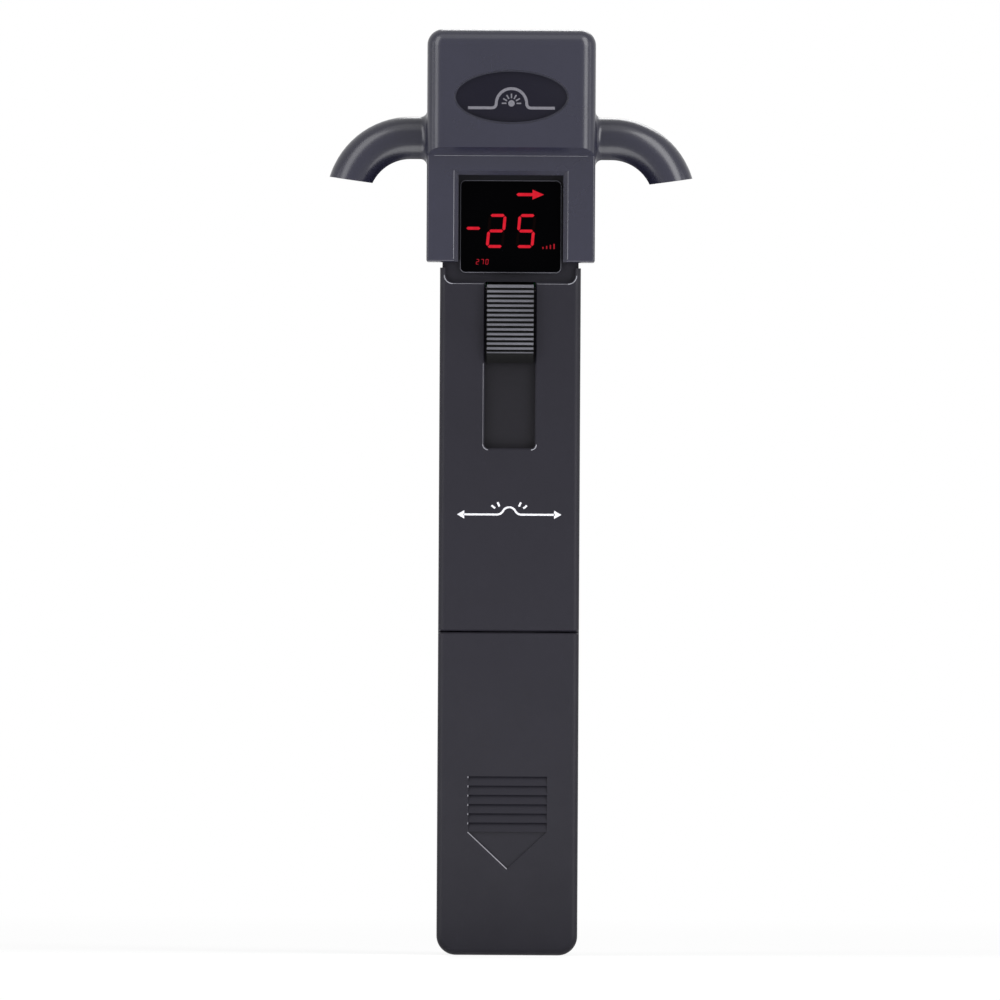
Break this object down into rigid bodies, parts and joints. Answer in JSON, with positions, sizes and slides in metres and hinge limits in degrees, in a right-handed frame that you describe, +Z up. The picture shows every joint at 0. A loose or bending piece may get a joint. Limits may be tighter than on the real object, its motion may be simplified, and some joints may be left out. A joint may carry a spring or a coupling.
{
  "type": "optical fibre identifier",
  "caption": "Slim hand-held tester that bends a fibre in a thumb-driven sliding clamp to sense its light, with a red read-out and a lift-off light hood with curved horns.",
  "frame": {"origin": "middle of the flat base, in line with the middle of the body", "axes": "+Z up along the body towards the hood, -Y out of the read-out, +X to the right of someone who reads it"},
  "size_m": [0.0786, 0.0344, 0.2004],
  "materials": {
    "case_plastic": "satin fine texture",
    "hood_plastic": "satin fine texture",
    "window": "polished dark",
    "black_plastic": "moulded",
    "board": "solder mask",
    "flex": "amber film",
    "steel": "plated",
    "dark_steel": "blackened",
    "ceramic": "fired",
    "battery_jacket": "plain printed jacket",
    "red_insulation": "insulation"
  },
  "bodies": {
    "housing": {"rear_housing": "case_plastic", "front_cover": "case_plastic", "display_window": "window", "display_module": "black_plastic", "display_board": "board", "display_ribbon": "flex", "guide_plate": "steel", "return_spring": "steel", "bend_anvil": "black_plastic", "left_photodiode": "steel", "right_photodiode": "steel", "sensor_flex": "flex", "main_board": "board", "microcontroller": "black_plastic", "amplifier_shield": "steel", "board_passives": "ceramic", "battery": "battery_jacket", "battery_clip": "black_plastic", "clip_contacts": "steel", "red_lead": "red_insulation", "black_lead": "black_plastic", "housing_screws": "dark_steel", "board_screws": "steel", "guide_screws": "steel", "anvil_screws": "dark_steel"},
    "carriage": {"slide_carriage": "case_plastic", "thumb_slider": "case_plastic", "thumb_screw": "steel", "fibre_adapter": "black_plastic"},
    "hood": {"light_hood": "hood_plastic"},
    "door": {"battery_door": "case_plastic"}
  },
  "joints": [
    {"name": "thumb_slide", "type": "slide", "parent": "housing", "child": "carriage", "axis": [0, 0, -1], "range_m": [0, 0.018], "stiffness_N_per_m": 120, "springref_m": -0.012, "deforming": ["return_spring"]},
    {"name": "hood_lift", "type": "slide", "parent": "housing", "child": "hood", "axis": [0, 0, 1], "range_m": [0, 0.055]},
    {"name": "door_slide", "type": "slide", "parent": "housing", "child": "door", "axis": [0, 0, -1], "range_m": [0, 0.008]}
  ]
}
